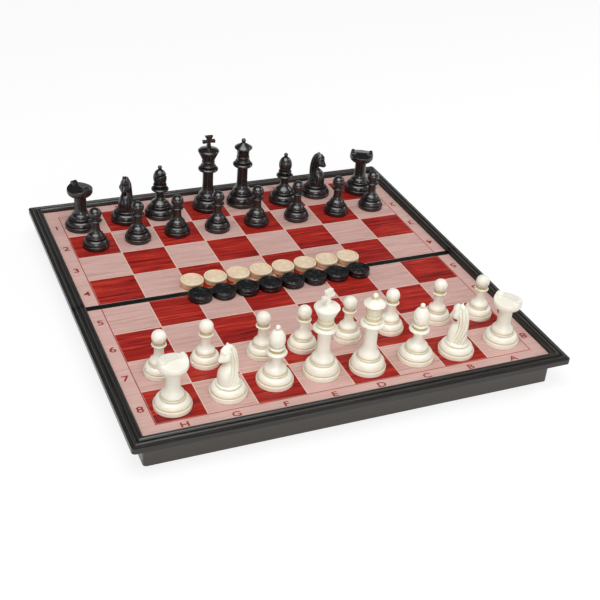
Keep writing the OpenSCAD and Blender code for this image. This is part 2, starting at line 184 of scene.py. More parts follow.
# ---------------------------------------------------------------- materials of the box
CASE_STOPS = [(0.28, srgb(26, 25, 23)), (0.55, srgb(38, 36, 33)), (0.72, srgb(60, 53, 45))]
WALL_TONE_AND_PAINTED_LIGHT, LIP_PAINTED_SHADE = srgb(84, 76, 69), srgb(12, 13, 12)
RED_STOPS = [(0.37, srgb(88, 12, 12)), (0.45, srgb(140, 24, 19)),
             (0.53, srgb(172, 35, 27)), (0.64, srgb(208, 70, 48))]
PINK_STOPS = [(0.36, srgb(184, 140, 130)), (0.47, srgb(204, 164, 155)),
              (0.56, srgb(215, 178, 170)), (0.7, srgb(226, 194, 184))]
BORDER_PINK, LINE_PALE, LINE_RED = srgb(216, 180, 172), srgb(234, 212, 194), srgb(158, 34, 34)
POINT_RED = [(0.3, srgb(128, 22, 20)), (0.5, srgb(170, 34, 29)), (0.7, srgb(196, 58, 46))]
POINT_BROWN = [(0.3, srgb(74, 40, 34)), (0.5, srgb(98, 56, 46)), (0.7, srgb(118, 74, 60))]
GROUND_PALE = [(0.3, srgb(196, 150, 138)), (0.5, srgb(218, 176, 165)), (0.7, srgb(230, 194, 184))]
POINT_EDGE = srgb(236, 206, 190)
INK_STOPS = [(0.3, srgb(138, 24, 26)), (0.7, srgb(162, 36, 36))]


def case_material():
    """Dark moulded plastic with streaks along each side of the rim."""
    n = Nodes("case_plastic")
    p = n.place_mm()
    x, y, z = n.split(p)
    side = n.math("GREATER_THAN", n.absolute(x), SHEET_X + 0.2)
    along_x = n.noise(n.scaled(p, (0.05, 1.6, 1.6)), 1.0, 4.0, 0.6, 0.4)
    along_y = n.noise(n.scaled(p, (1.6, 0.05, 1.6)), 1.0, 4.0, 0.6, 0.4)
    streak = n.node("ShaderNodeMix", {0: side, 2: along_x, 3: along_y}).outputs[0]
    grit = n.noise(p, 5.0, 2.0)
    colour = n.colours(streak, CASE_STOPS)
    # below the rim the walls are a little paler: in part their own matt tone, in part painted light
    # for the brighter upright faces
    wall = n.math("LESS_THAN", z, RIM_UNDER)
    colour = n.mix(n.times(wall, 0.6), colour, WALL_TONE_AND_PAINTED_LIGHT)
    # painted shade: the lips on either side of the seam are painted dark, for the shade they lie in
    lip_in_shade = n.math("LESS_THAN", n.absolute(y), SHEET_Y0 + 0.1)
    colour = n.mix(n.times(lip_in_shade, 0.8), colour, LIP_PAINTED_SHADE)
    height = n.add(streak, n.times(grit, 0.35))
    rough = n.ramp(n.add(streak, n.times(grit, 0.3)), 0.3, 1.0, 0.24, 0.38)
    return n.finish(colour, rough, n.bump(height, 0.4, 0.00012), Specular_IOR_Level=0.5)


def print_material(name, odd):
    """The printed chequer: red and pink wood-grain squares, fine lines and a pink border."""
    n = Nodes(name)
    p = n.place_mm()
    x, y, _ = n.split(p)
    u = n.math("DIVIDE", n.add(x, FILES_HALF * SQUARE), SQUARE)
    v = n.math("DIVIDE", n.minus(n.absolute(y), SHEET_Y0), SQUARE)
    column, row = n.math("FLOOR", u), n.math("FLOOR", v)
    parity = n.math("MODULO", n.add(n.add(column, row), 16.0 + odd), 2.0)
    # how far inside the field a point lies, in mm, and how near to a line between squares
    inside_u = n.minus(FILES_HALF, n.absolute(n.minus(u, FILES_HALF)))
    inside = n.times(SQUARE, n.math("MINIMUM", inside_u, n.minus(FILES_HALF, v)))
    field = n.math("GREATER_THAN", inside, 0.0)
    near_u = n.absolute(n.minus(u, n.math("ROUND", u)))
    near_v = n.absolute(n.minus(v, n.math("ROUND", v)))
    near = n.times(n.math("MINIMUM", near_u, near_v), SQUARE)
    # each square is cut from another place of the wood pattern
    tile = n.node("ShaderNodeCombineXYZ", {0: column, 1: row, 2: float(odd)}).outputs[0]
    shift = n.node("ShaderNodeTexWhiteNoise", {"Vector": tile}).outputs["Color"]
    moved = n.node("ShaderNodeVectorMath", {0: shift, 1: (400.0, 400.0, 90.0), 2: p},
                   operation="MULTIPLY_ADD").outputs[0]
    broad = n.noise(n.scaled(moved, (0.018, 0.16, 0.1)), 1.0, 3.0, 0.55, 1.1)
    streak = n.noise(n.scaled(moved, (0.03, 0.8, 0.5)), 1.0, 5.0, 0.62, 0.8)
    fine = n.noise(n.scaled(moved, (0.12, 3.6, 1.0)), 1.0, 3.0, 0.6, 0.3)

    def grain(of_streak, of_broad, of_fine):
        return n.add(n.times(streak, of_streak), n.add(n.times(broad, of_broad),
                                                       n.times(fine, of_fine)))

    red = n.colours(n.minus(grain(0.62, 0.34, 0.2), 0.08), RED_STOPS)
    pink = n.colours(grain(0.45, 0.2, 0.35), PINK_STOPS)
    colour = n.mix(n.math("LESS_THAN", parity, 0.5), pink, red)
    line = n.times(n.ramp(near, 0.14, 0.34, 1.0, 0.0), 0.9)
    colour = n.mix(line, colour, LINE_PALE)
    colour = n.mix(field, n.mix(0.35, pink, BORDER_PINK), colour)
    frame_line = n.ramp(n.absolute(n.add(inside, 0.15)), 0.2, 0.34, 1.0, 0.0)
    colour = n.mix(frame_line, colour, LINE_RED)
    grit = n.noise(p, 2.2, 3.0)
    rough = n.ramp(n.add(n.times(streak, 0.4), n.times(grit, 0.6)), 0.2, 0.8, 0.34, 0.5)
    height = n.add(n.times(streak, 0.7), n.times(grit, 0.5))
    return n.finish(colour, rough, n.bump(height, 0.12, 0.0001), Specular_IOR_Level=0.3)


POINTS = 6.0            # long points from each end of a lining
POINT_WIDE = 17.6
POINT_Y0 = 6.45         # from the middle of the seam to the first point
POINT_FOOT_X, POINT_LONG = 110.0, 88.0


def lining_material(name):
    """Printed lining: long points from each end, on a pale ground, as on a tables board."""
    n = Nodes(name)
    p = n.place_mm()
    x, y, _ = n.split(p)
    across = n.math("DIVIDE", n.minus(n.absolute(y), POINT_Y0), POINT_WIDE)
    index = n.math("FLOOR", across)
    offset = n.absolute(n.minus(n.math("FRACT", across), 0.5))
    reach = n.math("DIVIDE", n.minus(POINT_FOOT_X, n.absolute(x)), POINT_LONG)
    width = n.times(n.minus(1.0, reach), 0.5)
    point = n.times(n.math("LESS_THAN", offset, width), n.math("GREATER_THAN", reach, 0.0))
    inside = n.times(n.math("GREATER_THAN", across, 0.0), n.math("LESS_THAN", across, POINTS))
    point = n.times(point, inside)
    far_end = n.math("GREATER_THAN", x, 0.0)
    kind = n.math("MODULO", n.add(index, n.add(far_end, 8.0)), 2.0)
    streak = n.noise(n.scaled(p, (0.04, 0.9, 0.5)), 1.0, 4.0, 0.6, 0.6)
    inked = n.mix(kind, n.colours(streak, POINT_RED), n.colours(streak, POINT_BROWN))
    colour = n.mix(point, n.colours(streak, GROUND_PALE), inked)
    edge = n.ramp(n.absolute(n.minus(offset, width)), 0.02, 0.035, 1.0, 0.0)
    colour = n.mix(n.times(edge, n.times(point, 0.6)), colour, POINT_EDGE)
    rough = n.ramp(n.noise(p, 1.5, 3.0), 0.3, 0.7, 0.36, 0.5)
    return n.finish(colour, rough, n.bump(streak, 0.15, 0.0001))


def man_material(name, light, deep, groove, rough_low, rough_high, **sockets):
    """Moulded plastic: faint clouding, and painted shade in the groove colour where the turned
    shape has a groove.
    """
    n = Nodes(name)
    p = n.place_mm()
    cloud = n.noise(p, 0.16, 3.0, 0.5, 0.4)
    grit = n.noise(p, 3.5, 3.0)
    colour = n.mix(n.ramp(cloud, 0.3, 0.7), light, deep)
    # painted shade: the groove colour is mixed in by each vertex's painted shade attribute; on
    # cream draughts it also paints amber glow
    painted_shade_and_glow = n.node("ShaderNodeAttribute", attribute_name="painted_shade_and_glow").outputs["Fac"]
    colour = n.mix(n.times(painted_shade_and_glow, 0.9), colour, groove)
    rough = n.ramp(grit, 0.3, 0.7, rough_low, rough_high)
    return n.finish(colour, rough, n.bump(grit, 0.1, 0.00008), **sockets)


def metal_material(name, colour, rough, stretch, metallic=1.0):
    """Metal with drawn lines; they are finest along the largest figure of stretch."""
    n = Nodes(name)
    lines = n.noise(n.scaled(n.place_mm(), stretch), 1.0, 4.0, 0.6)
    darker = tuple(c * 0.78 for c in colour[:3]) + (1,)
    tone = n.mix(n.ramp(lines, 0.3, 0.7), colour, darker)
    return n.finish(tone, n.ramp(lines, 0.3, 0.7, rough, rough + 0.14),
                    n.bump(lines, 0.2, 0.00005), Metallic=metallic)


def ink_material():
    n = Nodes("coordinate_ink")
    p = n.place_mm()
    tone = n.colours(n.noise(p, 1.2, 2.0), INK_STOPS)
    return n.finish(tone, n.ramp(n.noise(p, 4.0), 0.3, 0.7, 0.32, 0.42))


CASE = case_material()
INK = ink_material()
# the third colour of each is painted shade in its grooves; the cream's amber one also paints glow
# of light through the thin sides
IVORY = man_material("white_man_plastic", srgb(247, 244, 232), srgb(242, 238, 223),
                     srgb(198, 180, 122), 0.26, 0.36, Subsurface_Weight=0.12,
                     Subsurface_Scale=0.002, Specular_IOR_Level=0.5)
EBONY = man_material("black_man_plastic", srgb(22, 20, 20), srgb(31, 26, 23), srgb(8, 7, 7),
                     0.2, 0.3, Specular_IOR_Level=0.7)
CREAM = man_material("cream_draught_plastic", srgb(240, 226, 200), srgb(231, 213, 184),
                     srgb(206, 128, 56), 0.3, 0.42, Subsurface_Weight=0.1,
                     Subsurface_Scale=0.002, Specular_IOR_Level=0.45)
JET = man_material("black_draught_plastic", srgb(24, 22, 22), srgb(19, 18, 18), srgb(9, 8, 8),
                   0.22, 0.34, Specular_IOR_Level=0.5)
FERRITE = metal_material("magnet_ferrite", srgb(72, 72, 76), 0.4, (0.9, 0.9, 0.9), 0.6)
STEEL = metal_material("sheet_steel", srgb(176, 178, 180), 0.28, (0.08, 2.5, 2.5))
PIN_STEEL = metal_material("pin_steel", srgb(190, 190, 190), 0.22, (3.0, 0.3, 0.3))
HINGE = man_material("hinge_plastic", srgb(44, 43, 43), srgb(36, 36, 36), srgb(24, 24, 24),
                     0.34, 0.48)


def dress(node, material):
    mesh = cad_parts[node].data
    mesh.materials.clear()
    mesh.materials.append(material)


for half, odd in (("rear", 0), ("front", 1)):
    dress(half + "_shell", CASE)
    dress(half + "_steel_sheet", STEEL)
    dress(half + "_board_print", print_material(half + "_board_print", odd))
    dress(half + "_inner_lining", lining_material(half + "_inner_lining"))
    dress(half + "_closing_magnets", FERRITE)
dress("hinge_links", HINGE)
dress("hinge_pins", PIN_STEEL)


# ---------------------------------------------------------------- mesh helpers
def new_mesh(name, points, faces):
    mesh = bpy.data.meshes.new(name)
    mesh.from_pydata([tuple(p) for p in points], [], faces)
    mesh.validate()
    mesh.update()
    return mesh


def set_painted_shade_and_glow(mesh, values):
    """Keep, for each vertex, the strength of its painted shade (0 to 1), as a vertex attribute; on
    the sides of cream draughts it paints glow.
    """
    mesh.attributes.new("painted_shade_and_glow", "FLOAT", "POINT").data.foreach_set("value", values)


def no_relief(r, a):
    return 0


def lathe(name, line, around, relief=no_relief, marks=None):
    """A line of (radius, height) turned round the upright axis; radius 0 makes a pole.
    relief(r, a) lifts points; marks holds the painted shade of each point of the line."""
    points, faces, rings, shade_and_glow_values = [], [], [], []
    for (r, z), value in zip(line, marks or [0.0] * len(line)):
        count = 1 if r < TINY else around
        rings.append(list(range(len(points), len(points) + count)))
        shade_and_glow_values += [value] * count
        if count == 1:
            points.append((0, 0, z))
            continue
        for j in range(around):
            a = 2 * pi * j / around
            points.append((r * cos(a), r * sin(a), z + relief(r, a)))
    for low, high in zip(rings, rings[1:]):
        if len(low) == 1 and len(high) == 1:
            continue
        for j in range(around):
            k = (j + 1) % around
            if len(low) == 1:
                faces.append((low[0], high[k], high[j]))
            elif len(high) == 1:
                faces.append((low[j], low[k], high[0]))
            else:
                faces.append((low[j], low[k], high[k], high[j]))
    mesh = new_mesh(name, points, faces)
    set_painted_shade_and_glow(mesh, shade_and_glow_values)
    return mesh


def groove_marks(line, reach=0.75):
    """For each point of a line, how near it lies to a groove, from 0 to 1; it sets the painted
    groove shade there.
    """
    sharp = [0.0]
    for (r0, z0), (r1, z1), (r2, z2) in zip(line, line[1:], line[2:]):
        turn = atan2(z2 - z1, r2 - r1) - atan2(z1 - z0, r1 - r0)
        turn = (turn + pi) % (2 * pi) - pi
        sharp.append(min(1.0, max(0.0, -turn / radians(45))))
    sharp.append(0.0)
    marks = []
    for r, z in line:
        near = 0.0
        for (r1, z1), s in zip(line, sharp):
            if s > 0.35:
                near = max(near, s * max(0.0, 1 - hypot(r - r1, z - z1) / reach))
        marks.append(near)
    return marks


def outwards(mesh):
    bm = bmesh.new()
    bm.from_mesh(mesh)
    bmesh.ops.recalc_face_normals(bm, faces=bm.faces)
    bm.to_mesh(mesh)
    bm.free()


def prism(name, outline, half, axis="y"):
    """A flat outline given as (across, up), made solid from -half to half along an axis."""
    n = len(outline)

    def point(p, s):
        return (p[0], s, p[1]) if axis == "y" else (s, p[0], p[1])

    points = [point(p, -half) for p in outline] + [point(p, half) for p in outline]
    faces = [tuple(range(n)), tuple(range(2 * n - 1, n - 1, -1))]
    faces += [(i, n + i, n + (i + 1) % n, (i + 1) % n) for i in range(n)]
    mesh = new_mesh(name, points, faces)
    outwards(mesh)
    return mesh


def joined(name, meshes):
    """Several meshes as one, with the painted shade of each vertex kept."""
    points, faces, shade_and_glow_values = [], [], []
    for mesh in meshes:
        base = len(points)
        points += [tuple(v.co) for v in mesh.vertices]
        faces += [tuple(base + i for i in f.vertices) for f in mesh.polygons]
        painted_shade_and_glow = mesh.attributes.get("painted_shade_and_glow")
        shade_and_glow_values += [d.value for d in painted_shade_and_glow.data] if painted_shade_and_glow else [0.0] * len(mesh.vertices)
    mesh = new_mesh(name, points, faces)
    set_painted_shade_and_glow(mesh, shade_and_glow_values)
    return mesh


def evaluated(name, mesh, steps):
    """The mesh after modifiers, given as (kind, settings)."""
    thing = placed(name, mesh)
    helpers = []
    for kind, settings in steps:
        modifier = thing.modifiers.new(kind, kind)
        for key, value in settings.items():
            if key == "object":
                value = placed("helper", value)
                helpers.append(value)
            setattr(modifier, key, value)
    graph = bpy.context.evaluated_depsgraph_get()
    result = bpy.data.meshes.new_from_object(thing.evaluated_get(graph))
    for o in [thing] + helpers:
        bpy.data.objects.remove(o)
    result.name = name
    return result


def carved(name, operation, a, b):
    settings = {"operation": operation, "solver": "EXACT", "object": b}
    return evaluated(name, a, [("BOOLEAN", settings)])


def softened(name, meshes, voxel, rounds):
    """Meshes fused into one skin of small faces with slightly rounded edges."""
    return evaluated(name, joined("parts", meshes), [
        ("REMESH", {"mode": "VOXEL", "voxel_size": voxel}),
        ("SMOOTH", {"factor": 0.5, "iterations": rounds})])


def smooth(mesh):
    mesh.polygons.foreach_set("use_smooth", [True] * len(mesh.polygons))
    mesh.set_sharp_from_angle(angle=radians(40))
    mesh.update()


def spline(points, steps):
    """A smooth run through the points, straight from the last one back to the first."""
    n = len(points)
    run = []
    for i in range(n - 1):
        p0, p1, p2, p3 = (Vector(points[(i + j) % n]) for j in (-1, 0, 1, 2))
        for j in range(steps):
            t = j / steps
            q = 0.5 * ((2 * p1) + (p2 - p0) * t + (2 * p0 - 5 * p1 + 4 * p2 - p3) * t * t
                       + (3 * p1 - p0 - 3 * p2 + p3) * t ** 3)
            run.append((q.x, q.y))
    return run + [tuple(Vector(points[-1]))]


def sides(outline):
    return zip(outline, outline[1:] + outline[:1])


def within(outline, x, z):
    inside = False
    for (x0, z0), (x1, z1) in sides(outline):
        if (z0 > z) != (z1 > z) and x < (x1 - x0) * (z - z0) / (z1 - z0) + x0:
            inside = not inside
    return inside


def edge_distance(outline, x, z):
    best = 1e9
    for (x0, z0), (x1, z1) in sides(outline):
        dx, dz = x1 - x0, z1 - z0
        t = max(0, min(1, ((x - x0) * dx + (z - z0) * dz) / (dx * dx + dz * dz)))
        best = min(best, (x - x0 - t * dx) ** 2 + (z - z0 - t * dz) ** 2)
    return sqrt(best)


# ---------------------------------------------------------------- outlines of the men
# They follow the CAD's with k times the points, but the stems are slimmer above a small bell,
# and the rook's cup is more tapered. r is the radius of the foot, h the height.
PLINTH_H, DOME_H, ROYAL_DOME_H, RING_H = 2.9, 3.3, 4.6, 1.4
PIECE_R, PAWN_R = 9.95, 8.2
PAWN_H, ROOK_H, KNIGHT_H, BISHOP_H, QUEEN_H, KING_H = 26.6, 29.8, 31.0, 35.2, 47.1, 51.6
MAGNET_R, MAGNET_T, DRAUGHT_MAGNET_T, FIT = 4.5, 2.0, 1.2, 0.1
POCKET_R = MAGNET_R + FIT


def arc(cx, cz, rx, rz, a0, a1, n):
    angles = [radians(a0 + (a1 - a0) * i / n) for i in range(n + 1)]
    return [(cx + rx * cos(a), cz + rz * sin(a)) for a in angles]


def flare(r0, z0, r1, z1, power, n):
    steps = [i / n for i in range(1, n + 1)]
    return [(r1 + (r0 - r1) * (1 - t) ** power, z0 + (z1 - z0) * t) for t in steps]


def bulge(r0, r1, z0, z1, n):
    return arc(r0, (z0 + z1) / 2, r1 - r0, (z1 - z0) / 2, -90, 90, n)


def foot_z(dome):
    return PLINTH_H + dome + RING_H


def base_line(r, dome, k):
    e = 0.05 * r
    return (arc(r - e, e, e, e, -90, 0, 3 * k) + arc(r - e, PLINTH_H - e, e, e, 0, 75, 3 * k)
            + [(0.92 * r, PLINTH_H)] + arc(0.68 * r, PLINTH_H, 0.25 * r, dome, 5, 85, 7 * k)
            + [(0.63 * r, PLINTH_H + dome)]
            + arc(0.61 * r, PLINTH_H + dome + 0.5 * RING_H, 0.065 * r, 0.5 * RING_H,
                  -90, 60, 6 * k))


def stem_line(r, dome, neck_r, neck_z, power, k):
    z = foot_z(dome)
    bell = arc(0.42 * r, z, 0.2 * r, 0.27 * r, -4, 60, 4 * k)
    rise = flare(0.52 * r, z + 0.234 * r, neck_r, neck_z, power, 8 * k)
    return base_line(r, dome, k) + bell + rise


def pawn_line(r, h, k):
    ball = 0.48 * r
    top = h - 2 * ball
    return (stem_line(r, DOME_H, 0.31 * r, top - 0.17 * r, 5.5, k)
            + bulge(0.37 * r, 0.49 * r, top - 0.15 * r, top, 6 * k)
            + arc(0, h - ball, ball, ball, -50, 90, 12 * k))


def bishop_line(r, h, k):
    return (stem_line(r, DOME_H, 0.25 * r, h - 1.79 * r, 4.2, k)
            + bulge(0.36 * r, 0.57 * r, h - 1.76 * r, h - 1.53 * r, 6 * k)
            + bulge(0.4 * r, 0.44 * r, h - 1.4 * r, h - 1.28 * r, 4 * k)
            + arc(0, h - 0.86 * r, 0.44 * r, 0.6 * r, -40, 72, 10 * k)
            + arc(0, h - 0.14 * r, 0.14 * r, 0.14 * r, -60, 90, 6 * k))


def rook_line(r, h, k):
    return (stem_line(r, DOME_H, 0.38 * r, h - 0.84 * r, 7, k)
            + arc(0.38 * r, h - 0.42 * r, 0.43 * r, 0.37 * r, -85, 0, 8 * k)
            + [(0.8 * r, h - 0.3 * r), (0.77 * r, h - 0.14 * r), (0.73 * r, h)])


def collar_line(r, z, k):
    return (bulge(0.42 * r, 0.66 * r, z, z + 0.28 * r, 7 * k)
            + bulge(0.42 * r, 0.5 * r, z + 0.29 * r, z + 0.45 * r, 5 * k)
            + [(0.39 * r, z + 0.5 * r), (0.39 * r, z + 0.56 * r)]
            + bulge(0.4 * r, 0.43 * r, z + 0.58 * r, z + 0.74 * r, 4 * k))


def king_line(r, h, k):
    return (stem_line(r, ROYAL_DOME_H, 0.35 * r, h - 2.5 * r, 8, k)
            + collar_line(r, h - 2.47 * r, k)
            + [(0.41 * r, h - 1.68 * r), (0.69 * r, h - 1.08 * r), (0.69 * r, h - 1.04 * r),
               (0.65 * r, h - 0.99 * r), (0.45 * r, h - 0.93 * r), (0.25 * r, h - 0.88 * r),
               (0.14 * r, h - 0.82 * r)])


def queen_line(r, h, k):
    return (stem_line(r, ROYAL_DOME_H, 0.35 * r, h - 2.01 * r, 8, k)
            + collar_line(r, h - 1.98 * r, k)
            + [(0.4 * r, h - 1.2 * r), (0.41 * r, h - 0.92 * r), (0.45 * r, h - 0.8 * r),
               (0.59 * r, h - 0.66 * r), (0.59 * r, h - 0.62 * r), (0.55 * r, h - 0.57 * r),
               (0.27 * r, h - 0.4 * r), (0.13 * r, h - 0.3 * r)]
            + arc(0, h - 0.15 * r, 0.15 * r, 0.15 * r, -35, 90, 7 * k))


# ---------------------------------------------------------------- shapes of the men
DETAIL, CUP_DETAIL = 2, 3
AROUND, FINE_AROUND = 80, 96


def to_axis(line):
    """The point that closes an open top, if there is one."""
    return [(0, line[-1][1])] if line[-1][0] > TINY else []


def turned(line):
    """An outline turned, with the magnet's pocket in the underside and a closed top."""
    line = [(0.0 if r < TINY else r, z) for r, z in line]
    pocket = [(0, MAGNET_T + FIT), (POCKET_R, MAGNET_T + FIT), (POCKET_R, 0.0)]
    line = pocket + line + to_axis(line)
    return lathe("turned", line, AROUND, marks=groove_marks(line))


def magnet_mesh(thickness):
    e = 0.15
    r = MAGNET_R - e
    rim = arc(r, e, e, e, -90, 0, 3) + arc(r, thickness - e, e, e, 0, 90, 3)
    return lathe("magnet", [(0, 0)] + rim + [(0, thickness)], 40)


def rook_mesh():
    """A cup with a roof-shaped floor and two horns, on a turned stem."""
    r, h = PIECE_R, ROOK_H
    cut = h - 0.95 * r
    upper = [p for p in rook_line(r, h, CUP_DETAIL) if p[1] >= cut - 0.5]
    cup = lathe("cup", [(0, upper[0][1])] + upper + to_axis(upper), FINE_AROUND)
    outwards(cup)
    ridge, eave = h - 0.15 * r, h - 0.33 * r
    roof = [(-r, eave), (0, ridge), (r, eave), (r, 0), (-r, 0)]
    parts = [carved("common", "INTERSECT", cup, prism("below", roof, 2 * r, "x"))]
    horn = [(0.36 * r, h - r), (0.36 * r, ridge - 0.04 * r), (0.48 * r, h - 0.05 * r),
            (0.56 * r, h), (0.68 * r, h), (r, h - 0.1 * r), (r, h - r)]
    for s in (-1, 1):
        block = prism("horn", [(s * x, z) for x, z in horn], 0.2 * r)
        parts.append(carved("common", "INTERSECT", cup, block))
    head = softened("rook_head", parts, 0.15, 4)
    # painted shade: a dark line along the middle of the ridge
    set_painted_shade_and_glow(head, [0.75 * max(0.0, 1 - abs(v.co.y) / 0.4)
                    if v.co.z > ridge - 1 and abs(v.co.x) < 0.4 * r else 0.0
                    for v in head.vertices])
    stem = turned([p for p in rook_line(r, h, DETAIL) if p[1] <= cut])
    return joined("rook", [stem, head])


def king_mesh():
    """A turned king with a cross whose foot and head widen."""
    r, h = PIECE_R, KING_H
    foot, mid, thick = h - 0.9 * r, h - 0.4 * r, 0.11 * r
    parts = [prism("bar", [(-0.17 * r, foot), (0.17 * r, foot), (0.08 * r, mid),
                           (0.27 * r, h - 0.01 * r), (0, h), (-0.27 * r, h - 0.01 * r),
                           (-0.08 * r, mid)], thick)]
    for s in (-1, 1):
        tip = s * 0.42 * r
        parts.append(prism("arm", [(0, mid - 0.06 * r), (tip, mid - 0.11 * r),
                                   (tip, mid + 0.11 * r), (0, mid + 0.06 * r)], thick))
    return joined("king", [turned(king_line(r, h, DETAIL)), softened("cross", parts, 0.11, 3)])


def bishop_mesh():
    """A turned bishop with a slit cut into one side of the mitre."""
    r, h = PIECE_R, BISHOP_H
    long, thick = 0.3 * r, 0.045 * r
    slit = prism("slit", [(-long, -thick), (long, -thick), (long, thick), (-long, thick)], 0.6 * r)
    slit.transform(Matrix.Translation((0.26 * r, 0, h - 0.66 * r))
                   @ Matrix.Rotation(radians(-38), 4, "Y"))
    return carved("bishop", "DIFFERENCE", turned(bishop_line(r, h, DETAIL)), slit)


def draught_mesh():
    """A disc with a groove round its side and a rosette in a shallow dish."""
    r, t, edge, e, dish = 6.95, 4.1, 1.1, 0.5, 0.45
    bead_r, petal_r, eye_r, highest = 4.9, 2.9, 1.0, 0.44
    inner = r - edge
    top = t - dish
    pocket_top = DRAUGHT_MAGNET_T + FIT
    line = ([(0, pocket_top), (POCKET_R, pocket_top), (POCKET_R, 0)]
            + arc(r - e, e, e, e, -90, 0, 5)
            + [(r - 0.02, 1.85), (r - 0.16, 2.05), (r - 0.02, 2.25)]
            + arc(r - e, t - e, e, e, 0, 90, 6)
            + [(inner + 0.3, t), (inner + 0.12, t - 0.06), (inner, top)]
            + [(inner * (1 - i / 26), top) for i in range(1, 27)])

    def relief(rr, a):
        if rr > inner - 0.05:
            return 0.0
        from_bead = abs(rr - bead_r)
        ring = max(0.0, 1 - from_bead / 0.3) + max(0.0, 1 - abs(rr - eye_r) / 0.35)
        petal = max(0.0, cos(2.5 * a)) ** 1.2 * max(0.0, 1 - abs(rr - petal_r) / 1.4) ** 0.6
        bead = max(0.0, cos(10 * a)) * max(0.0, 1 - from_bead / 0.5)
        return min(highest, 0.16 * min(1.0, ring) + 0.42 * petal + 0.18 * bead)

    # painted glow and shade: the thin sides get the groove colour, most towards the foot, for
    # painted amber glow of light through the cream sides and painted shade on the black ones; the
    # face gets half
    marks = []
    for m, (x, z) in zip(groove_marks(line, 0.5), line):
        if x > inner + 0.3 and z < t - 0.1:
            m = max(m, 0.95 - 0.7 * z / t)
        marks.append(0.5 * m if z > t - 0.6 else m)
    mesh = lathe("draught", line, FINE_AROUND, relief, marks)
    # painted shade in the hollows between the raised parts of the rosette, on the face
    for v, d in zip(mesh.vertices, mesh.attributes["painted_shade_and_glow"].data):
        rr = hypot(v.co.x, v.co.y)
        if v.co.z > t / 2 and rr < inner - 0.05:
            d.value = 0.22 * (1 - relief(rr, atan2(v.co.y, v.co.x)) / highest)
    return mesh


# the horse from the side, nose towards +x: parts of the foot's radius, and of the neck's height
HORSE_SIDE = [
    (0.56, -0.1), (0.56, 0), (0.6, 0.1), (0.6, 0.18), (0.58, 0.27), (0.52, 0.36), (0.4, 0.44),
    (0.26, 0.49), (0.16, 0.52), (0.17, 0.56), (0.27, 0.577), (0.42, 0.572), (0.55, 0.577),
    (0.63, 0.605), (0.66, 0.64), (0.6, 0.7), (0.53, 0.775), (0.51, 0.875), (0.42, 0.93),
    (0.29, 0.97), (0.17, 0.975), (0.04, 1), (-0.06, 0.965), (-0.13, 0.95), (-0.24, 0.9),
    (-0.36, 0.8), (-0.45, 0.64), (-0.48, 0.45), (-0.48, 0.25), (-0.52, 0.09), (-0.57, 0),
    (-0.57, -0.1)]
# half the horse's width by height
HORSE_WIDTHS = [(0, 0.5), (0.2, 0.45), (0.42, 0.36), (0.6, 0.33), (0.75, 0.31), (0.88, 0.25),
                (0.96, 0.17), (1, 0.12)]
# hills and hollows: mm outwards, middle and spread (across, up)
HORSE_HILLS = [
    (0.6, 0.3, 0.7, 0.13, 0.075),           # cheek
    (0.45, 0.42, 0.835, 0.05, 0.028),       # eye
    (-0.45, 0.43, 0.785, 0.08, 0.018),      # below the eye
    (-0.5, 0.58, 0.655, 0.03, 0.018),       # nostril
    (-0.4, 0.5, 0.605, 0.12, 0.012),        # mouth
    (-0.5, 0.16, 0.62, 0.04, 0.09)]         # behind the cheek
EAR_LINE = [(0, 0), (0.095 * PIECE_R, 0), (0.085 * PIECE_R, 1.0), (0.045 * PIECE_R, 1.9), (0, 2.35)]


def maned(px, pz):
    """1 on the rear of the neck, where the mane hangs, 0 on the face and chest."""
    front = 0.1 + 0.1 * max(0, 0.3 - pz) / 0.3
    return max(0, min(1, (front - px) / 0.06)) * max(0, min(1, (0.97 - pz) / 0.05))


def strand(px, pz):
    """Long locks that bow back from the poll and sweep forward to the base;
    1 on a crest, -1 in a valley."""
    return cos((px + 0.26 * sin(pi * max(0, min(1, pz)))) * 2 * pi / 0.17)


def horse_half_width(px, pz, d):
    """Half the width in mm at a point of the side view that lies d mm inside its outline."""
    for (a, wa), (b, wb) in zip(HORSE_WIDTHS, HORSE_WIDTHS[1:]):
        if pz <= b:
            w = wa + (wb - wa) * max(0, pz - a) / (b - a)
            break
    else:
        w = HORSE_WIDTHS[-1][1]
    # the muzzle and the mane are narrower than the cheek
    if pz > 0.5:
        w -= 0.12 * max(0, min(1, (px - 0.3) / 0.25)) * min(1, (pz - 0.5) / 0.05)
    mane = maned(px, pz)
    w -= 0.05 * mane
    w *= PIECE_R
    rounding = 0.34 * PIECE_R
    if d < rounding:
        t = 1 - d / rounding
        w *= sqrt(max(0.0, 1 - t * t))
    w += 0.6 * mane * strand(px, pz) * min(1, d / 0.8)
    for lift, x, z, spread_x, spread_z in HORSE_HILLS:
        w += lift * pow(2.718, -((px - x) / spread_x) ** 2 - ((pz - z) / spread_z) ** 2)
    return w if d > 0.02 else 0.0


def horse_grid(outline):
    """Points inside the outline: two rows close to it, and an even grid."""
    inner = []
    border = len(outline)
    for offset in (0.09, 0.24):
        for i, (x, z) in enumerate(outline):
            x0, z0 = outline[i - 1]
            x1, z1 = outline[(i + 1) % border]
            nx, nz = z1 - z0, -(x1 - x0)
            size = hypot(nx, nz)
            if size <= TINY:
                continue
            for s in (1, -1):
                q = (x + s * offset * nx / size, z + s * offset * nz / size)
                if within(outline, *q) and edge_distance(outline, *q) > 0.8 * offset:
                    inner.append(q)
    cell = 0.34
    xs, zs = zip(*outline)
    for i in range(int((max(xs) - min(xs)) / cell) + 1):
        for j in range(int((max(zs) - min(zs)) / cell) + 1):
            q = (min(xs) + (i + 0.5 * (j % 2)) * cell, min(zs) + j * cell)
            if within(outline, *q) and edge_distance(outline, *q) > 0.36:
                inner.append(q)
    return inner


